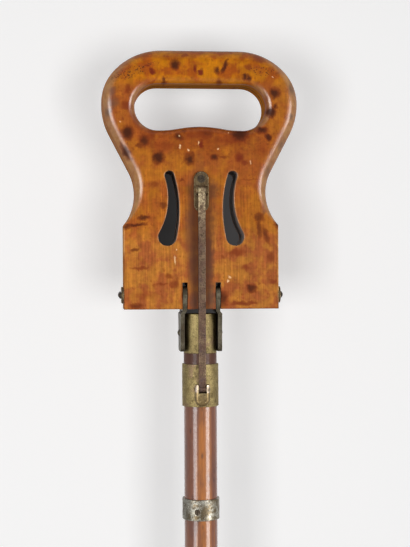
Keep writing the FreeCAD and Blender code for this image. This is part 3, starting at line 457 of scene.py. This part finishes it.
def aged_metal(name, *colours, worn, pitted, shine, scale, relief=1.0, edge=None, rubbed=None,
               across=None):
    """Old metal: worn bright places and edges, a dull skin, dark stains, fine scratches and pits.

    The colours are the bright metal's, the skin's, the stains' and the grime's. Worn is the share
    of bright metal, pitted the share of cells with a pit, shine the roughness of clean and of
    stained metal, and relief scales the bumps. Edge is the colour of the worn edges. Rubbed is a
    colour and the heights between which it sets in. Across is painted light and shade: how bright
    the metal is painted at its left and at its right."""
    bright, middle, dark, grime = (linear(*colour) for colour in colours)
    edge = linear(*edge) if edge else bright
    g = Graph(name)
    place = g.warped(g.place, 150.0, 2.0 * MM)
    skin = g.noise(place, 130.0 * scale, 5.0, 0.65)
    stain = g.noise(place, 260.0 * scale, 5.0, 0.65, 0.3)
    fine = g.noise(g.place, 1500.0, 3.0, 0.65)
    scratches = g.noise(g.scaled(g.place, 1100.0, 1100.0, 110.0), 1.0, 3.0, 0.6)
    middle_skin = 0.62 - 0.24 * worn
    colour = g.mix(g.ramp(skin, middle_skin - 0.1, middle_skin + 0.1), middle, bright)
    colour = g.mix(g.ramp(stain, 0.50, 0.70, 0.0, 0.85), colour, dark)
    dirt = g.ramp(g.noise(place, 60.0 * scale, 4.0, 0.7), 0.50, 0.68, 0.0, 0.8)
    colour = g.mix(dirt, colour, grime)
    colour = g.mix(g.ramp(scratches, 0.52, 0.72, 0.0, 0.35), colour, dark)
    colour = g.tone(colour, fine, 0.3, 0.7, 0.74, 1.22)
    if rubbed:
        tint, heights = rubbed
        height = g.split(place)[2]
        share = g.times(g.ramp(height, *heights), g.ramp(stain, 0.40, 0.56, 1.0, 0.15))
        colour = g.mix(share, colour, linear(*tint))
    # Painted light and shade: the colour is darkened towards one side and brightened towards the
    # other
    if across:
        colour = g.tone(colour, g.split(place)[0], -RING_RADIUS, RING_RADIUS, *across)
    distance, picks = g.cells(place, 780.0)
    glint = g.times(g.ramp(distance, 0.08, 0.40, 1.0, 0.0), g.ramp(picks[1], 0.22, 0.16))
    colour = g.mix(g.times(glint, 0.6), colour, edge)
    pit = g.times(g.ramp(distance, 0.10, 0.45, 1.0, 0.0), g.ramp(picks[0], pitted, pitted - 0.06))
    colour = g.mix(g.times(pit, 0.55), colour, dark)
    worn_edge = g.times(g.edges(0.45 * MM), g.ramp(skin, 0.38, 0.56, 0.15, 0.85))
    colour = g.mix(worn_edge, colour, edge)
    height = g.plus(g.times(stain, 0.5), g.times(scratches, 0.2))
    height = g.plus(height, g.times(fine, 0.25))
    height = g.minus(height, g.times(pit, 0.8))
    normal = g.bump(g.noise(g.place, 75.0, 2.0), 0.18 * relief * MM, 0.4)
    normal = g.bump(height, 0.12 * relief * MM, 0.7, normal)
    roughness = g.plus(g.ramp(stain, 0.35, 0.7, *shine), g.times(pit, 0.15))
    return g.finish(colour, roughness, normal, Metallic=1.0)


materials = {
    "front_wood": leaf_wood("front_leaf_wood", 1),
    "rear_wood": leaf_wood("rear_leaf_wood", -1),
    "cane": cane_wood("cane_wood"),
    "brass": aged_metal(
        "aged_brass", (150, 135, 92), (126, 111, 75), (88, 74, 50), (122, 98, 82),
        worn=0.5, pitted=0.3, shine=(0.56, 0.72), scale=1.3, edge=(190, 174, 124)),
    "lug": aged_metal(
        "worn_brass", (138, 119, 83), (110, 92, 62), (72, 59, 42), (98, 85, 64),
        worn=0.6, pitted=0.3, shine=(0.42, 0.6), scale=1.0, edge=(222, 204, 158),
        rubbed=((206, 188, 172), LUG_TOP)),
    "bracket": aged_metal(
        "dull_brass", (117, 100, 72), (88, 71, 51), (46, 36, 27), (88, 76, 60),
        worn=0.4, pitted=0.6, shine=(0.42, 0.62), scale=1.6, relief=1.5, edge=(206, 190, 156)),
    "link": aged_metal(
        "link_metal", (116, 97, 78), (94, 73, 62), (64, 49, 43), (90, 74, 71),
        worn=0.4, pitted=0.7, shine=(0.5, 0.72), scale=1.6, relief=1.5, edge=(146, 124, 100),
        rubbed=((172, 156, 124), LINK_TOP)),
    "ring": aged_metal(
        "ring_plate", (158, 156, 146), (94, 83, 65), (54, 42, 28), (84, 70, 48),
        worn=0.5, pitted=0.5, shine=(0.34, 0.62), scale=1.5, relief=1.3, edge=(226, 224, 210),
        across=(0.84, 1.38)),
    "steel": aged_metal(
        "plate_steel", (102, 96, 81), (76, 69, 56), (48, 42, 35), (74, 64, 50),
        worn=0.4, pitted=0.4, shine=(0.45, 0.65), scale=1.2),
    "dark": aged_metal(
        "dark_steel", (84, 74, 62), (62, 54, 46), (32, 28, 25), (56, 46, 36),
        worn=0.4, pitted=0.4, shine=(0.42, 0.62), scale=1.6),
    "foot": aged_metal(
        "foot_steel", (150, 146, 138), (112, 106, 98), (66, 58, 52), (104, 76, 54),
        worn=0.4, pitted=0.5, shine=(0.42, 0.66), scale=0.8),
}

finishes = {
    "cane": "cane", "head_socket": "brass", "left_side_plate": "steel",
    "right_side_plate": "steel", "head_rivet": "steel", "stop_ring": "ring",
    "stop_ring_screws": "dark", "ferrule": "brass", "ferrule_pin": "brass",
    "ground_plate": "foot", "spike": "foot", "slider_sleeve": "brass",
}
for side in ("front", "rear"):
    finishes.update({
        side + "_leaf": side + "_wood", side + "_hinge_rod": "dark",
        side + "_rod_washers": "bracket", side + "_leaf_bracket": "bracket",
        side + "_bracket_screws": "dark", side + "_upper_pin": "brass", side + "_link": "link",
        side + "_lower_pin": "dark", side + "_slider_lug": "lug",
    })
for name, finish in finishes.items():
    data = nodes[name].data
    data.materials.clear()
    data.materials.append(materials[finish])

# The camera, level with the picture's middle and a little to the stick's left. The picture's height
# is what it shows at the leaf's face.
AIM = Vector((0.0023, -LEAF_FACE, 0.7366))
AIM_DISTANCE = 0.8
YAW = math.radians(5.3)
ROLL = math.radians(0.3)
PICTURE_HEIGHT = 0.372
SENSOR_WIDTH = 36
camera_data = bpy.data.cameras.new("camera")
camera_data.sensor_width = SENSOR_WIDTH
camera_data.lens = SENSOR_WIDTH * AIM_DISTANCE / PICTURE_HEIGHT
camera = bpy.data.objects.new("camera", camera_data)
bpy.context.scene.collection.objects.link(camera)
camera.location = AIM - AIM_DISTANCE * Vector((math.sin(YAW), math.cos(YAW), 0))
camera.rotation_mode = "QUATERNION"
facing = (AIM - camera.location).to_track_quat("-Z", "Y")
camera.rotation_quaternion = facing @ Matrix.Rotation(-ROLL, 3, "Z").to_quaternion()
bpy.context.scene.camera = camera

# What each lamp lights. The collections are filled once the sheets are there.
lit = {name: bpy.data.collections.new(name)
       for name in ("card_only", "floor_only", "leaves_only", "object_only")}


def around(turn, distance, height):
    """A place near the stick, turned by so many degrees from the camera's side of it."""
    angle = math.radians(turn) - YAW
    return (math.sin(angle) * distance, -math.cos(angle) * distance, height)


def area_light(name, receivers, place, target, size, power, glossy=True, diffuse=True):
    """A rectangular lamp of a width and height, aimed at the target, for its receivers alone."""
    data = bpy.data.lights.new(name, "AREA")
    data.shape = "RECTANGLE"
    data.size, data.size_y = size
    data.energy = power
    lamp = bpy.data.objects.new(name, data)
    bpy.context.scene.collection.objects.link(lamp)
    lamp.location = place
    lamp.rotation_mode = "QUATERNION"
    lamp.rotation_quaternion = (Vector(target) - Vector(place)).to_track_quat("-Z", "Y")
    lamp.visible_camera = False
    lamp.visible_glossy = glossy
    lamp.visible_diffuse = diffuse
    lamp.light_linking.receiver_collection = lit[receivers]


# Two tall soft strips in front, one to each side, each with a wide low lamp that only adds to the
# highlights on the leaves' varnish, and a soft fill behind that makes no highlights. Two lamps
# throw the object's soft shadow on the card behind it, and another its shadow on the floor.
STRIP_DISTANCE, STRIP_HEIGHT = 1.5, 0.6
GLOSS_DISTANCE, GLOSS_HEIGHT, GLOSS_POWER = 1.47, 0.86, 20.0
for name, turn, power in (("left_strip", -38, 16.0), ("right_strip", 51, 18.5)):
    area_light(name, "object_only", around(turn, STRIP_DISTANCE, STRIP_HEIGHT),
               (0, 0, STRIP_HEIGHT), (0.68, 1.0), power)
    area_light(name + "_front", "leaves_only", around(turn, GLOSS_DISTANCE, GLOSS_HEIGHT),
               (0, 0, GLOSS_HEIGHT), (0.9, 0.5), GLOSS_POWER, diffuse=False)
area_light("rear_fill", "object_only", (0.2, 1.6, 1.1), (0, 0, 0.6), (1.4, 1.4), 27.0,
           glossy=False)
area_light("floor_lamp", "floor_only", (-0.3, -0.6, 2.4), (0, 0, 0), (0.8, 0.8), 32.0,
           glossy=False)
for name, turn in (("left_shadow_lamp", -9.5), ("right_shadow_lamp", 9.5)):
    area_light(name, "card_only", around(turn, 1.2, 0.64), (0, 0, 0.71), (0.24, 0.22), 6.0,
               glossy=False)

# The room is a pale grey where it is looked at, and lights the object only a little.
AMBIENT_STRENGTH = 0.22
ROOM_GREY = 0.72
room = Graph("studio", world=True)
bpy.context.scene.world = room.owner
seen = room.seen()
ambient = room.node("ShaderNodeBackground",
                    {"Color": (1, 1, 1, 1), "Strength": AMBIENT_STRENGTH})
pale = room.node("ShaderNodeBackground",
                 {"Color": (ROOM_GREY, ROOM_GREY, ROOM_GREY, 1), "Strength": 1.0})
room.show(room.node("ShaderNodeMixShader", {0: seen, 1: ambient.outputs[0], 2: pale.outputs[0]}))


def sheet(name, corners, material):
    """A flat stage sheet from its four corners."""
    mesh = bpy.data.meshes.new(name)
    mesh.from_pydata(corners, [], [(0, 1, 2, 3)])
    mesh.materials.append(material)
    piece = bpy.data.objects.new(name, mesh)
    bpy.context.scene.collection.objects.link(piece)
    return piece


def upright(name, left, right, depth, foot, top, material):
    """A sheet that stands across the view."""
    return sheet(name, [(left, depth, foot), (right, depth, foot), (right, depth, top),
                        (left, depth, top)], material)


def paper(g, white, reflecting):
    """Pale paper: as white as the room where it is looked at, and keeping the object's shadow."""
    fibre = g.bump(g.noise(g.place, 500.0, 3.0), 0.05 * MM, 0.3)
    surface = g.node("ShaderNodeBsdfDiffuse", {
        "Color": (reflecting, reflecting, reflecting, 1), "Roughness": 0.9, "Normal": fibre})
    glow = g.node("ShaderNodeEmission", {"Color": (white, white, white, 1), "Strength": g.seen()})
    return g.node("ShaderNodeAddShader", {0: surface.outputs[0], 1: glow.outputs[0]})


HALF_FLOOR = 6.0
FLOOR_HEIGHT = -0.0005
floor_paper = Graph("floor_paper")
floor = sheet("floor", [(-HALF_FLOOR, -HALF_FLOOR, FLOOR_HEIGHT),
                        (HALF_FLOOR, -HALF_FLOOR, FLOOR_HEIGHT),
                        (HALF_FLOOR, HALF_FLOOR, FLOOR_HEIGHT),
                        (-HALF_FLOOR, HALF_FLOOR, FLOOR_HEIGHT)],
              floor_paper.show(paper(floor_paper, 0.60, 0.3)))

# A white card hangs close behind, clear of the folded leaf. It fades into the room beyond the part
# that is kept whole, takes no light from the object, and isn't seen from behind.
CARD_DEPTH = 0.19
CARD_ACROSS, CARD_UP = 0.02, 0.735
CARD_HALF_WIDTH, CARD_HALF_HEIGHT = 0.31, 0.365
WHOLE_HALF_WIDTH, WHOLE_HALF_HEIGHT = 0.19, 0.26
FADE_WIDTH = 0.115
board = Graph("backdrop_paper")
board_paper = paper(board, 0.29, 0.8)
across, _, level = board.split(board.place)
aside = board.minus(board.magnitude(board.minus(across, CARD_ACROSS)), WHOLE_HALF_WIDTH)
beyond = board.minus(board.magnitude(board.minus(level, CARD_UP)), WHOLE_HALF_HEIGHT)
beyond = board.larger(beyond, 0.0)
aside = board.larger(aside, 0.0)
away = board.math("SQRT", board.plus(board.times(aside, aside), board.times(beyond, beyond)))
kept = board.ramp(away, 0.0, FADE_WIDTH, 1.0, 0.0)
behind = board.node("ShaderNodeNewGeometry").outputs["Backfacing"]
kept = board.times(kept, board.minus(1.0, behind))
clear = board.node("ShaderNodeBsdfTransparent").outputs[0]
faded = board.node("ShaderNodeMixShader", {0: kept, 1: clear, 2: board_paper.outputs[0]})
card = upright("backdrop", CARD_ACROSS - CARD_HALF_WIDTH, CARD_ACROSS + CARD_HALF_WIDTH,
               CARD_DEPTH, CARD_UP - CARD_HALF_HEIGHT, CARD_UP + CARD_HALF_HEIGHT,
               board.show(faded))
card.visible_diffuse = False
card.visible_shadow = False

leaves = [nodes["front_leaf"], nodes["rear_leaf"]]
for name, things, state in (("card_only", [card], "INCLUDE"), ("floor_only", [floor], "INCLUDE"),
                            ("leaves_only", leaves, "INCLUDE"),
                            ("object_only", [card, floor], "EXCLUDE")):
    for number, thing in enumerate(things):
        lit[name].objects.link(thing)
        lit[name].collection_objects[number].light_linking.link_state = state

# The photographed stick lies on a white sheet, whose deep shadow fills the comma slots and the gap
# under the leaves. Dark cards stand for it, just behind the rear leaf's slots and that gap. Those
# behind the slots move with the rear leaf. None is seen from behind.
DARK_CARD_DEPTH = 0.0151
SLOT_HEIGHTS = (0.714, 0.810)
GAP_HEIGHTS = (0.7060, 0.7135)
shadow = Graph("sheet_shadow")
across = shadow.split(shadow.place)[0]
level = shadow.plus(shadow.ramp(across, -0.03, 0.03, 0.020, 0.045),
                    shadow.times(shadow.noise(shadow.place, 90.0), 0.008))
unlit = shadow.node("ShaderNodeEmission", {"Color": (1.0, 0.95, 0.95, 1), "Strength": level})
behind = shadow.node("ShaderNodeNewGeometry").outputs["Backfacing"]
clear = shadow.node("ShaderNodeBsdfTransparent").outputs[0]
shadow.show(shadow.node("ShaderNodeMixShader", {0: behind, 1: unlit.outputs[0], 2: clear}))
for name, left, right, heights, body in (
        ("left_slot_card", -0.035, -0.0085, SLOT_HEIGHTS, "rear_seat"),
        ("right_slot_card", 0.0100, 0.035, SLOT_HEIGHTS, "rear_seat"),
        ("gap_card", -0.013, 0.013, GAP_HEIGHTS, "stick")):
    piece = upright(name, left, right, DARK_CARD_DEPTH, *heights, shadow.owner)
    piece.visible_diffuse = piece.visible_shadow = False
    piece.parent = bpy.data.objects["body:" + body]
    piece.matrix_parent_inverse = piece.parent.matrix_world.inverted()

scene = bpy.context.scene
scene.view_settings.view_transform = "Standard"
